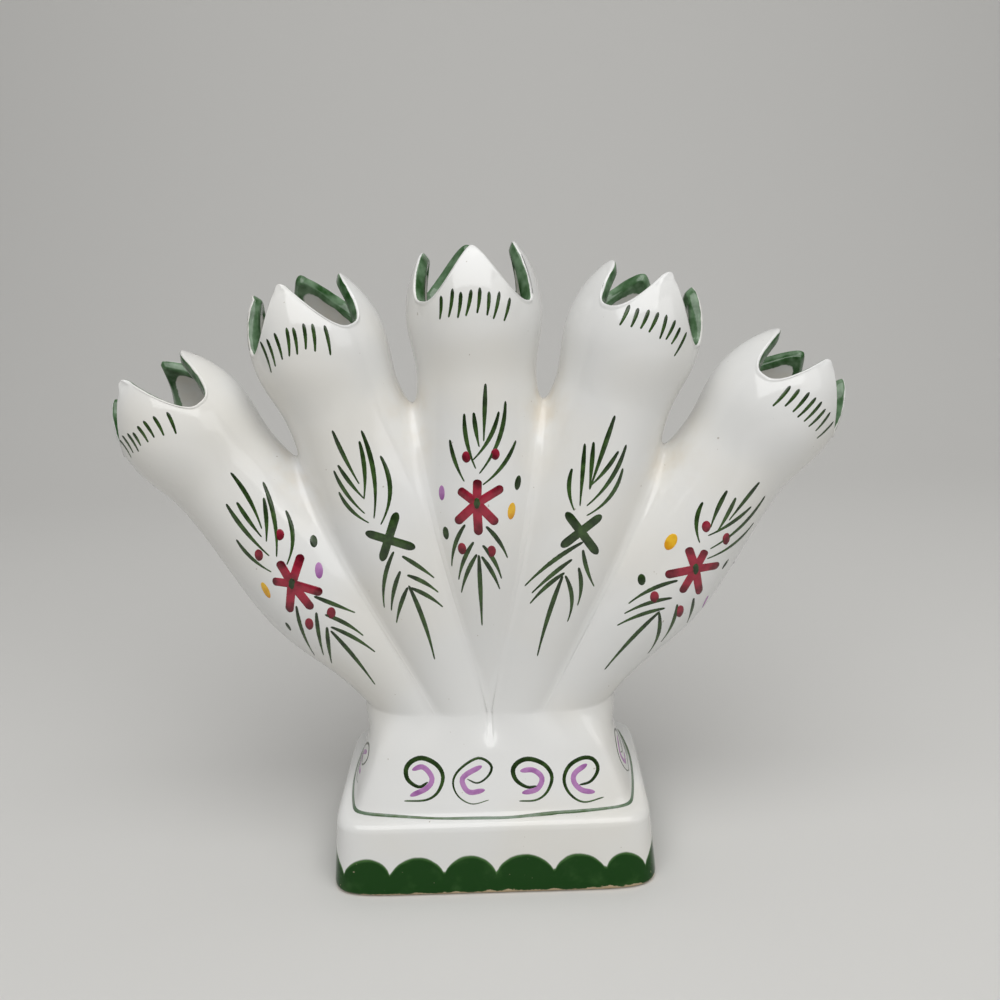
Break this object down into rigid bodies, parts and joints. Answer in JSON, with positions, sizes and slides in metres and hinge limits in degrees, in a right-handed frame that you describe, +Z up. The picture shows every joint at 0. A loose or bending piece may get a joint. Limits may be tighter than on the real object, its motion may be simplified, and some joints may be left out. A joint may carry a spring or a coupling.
{
  "type": "quintal vase",
  "caption": "Glazed pottery vase with a flat fan of trumpet fingers for single flower stems, petal-cut mouths, a flared pedestal and a low rectangular plinth.",
  "frame": {"origin": "middle of the foot, at table height", "axes": "+X along the fan towards the right-hand finger seen from the front, +Y from the front face to the back, +Z up"},
  "size_m": [0.2135, 0.066, 0.19],
  "materials": {
    "glaze": "gloss",
    "bare_clay": "matte"
  },
  "bodies": {
    "root": {"floor": "bare_clay", "plinth": "glaze", "pedestal": "glaze", "finger_far_left": "glaze", "finger_left": "glaze", "finger_centre": "glaze", "finger_right": "glaze", "finger_far_right": "glaze"}
  },
  "joints": []
}
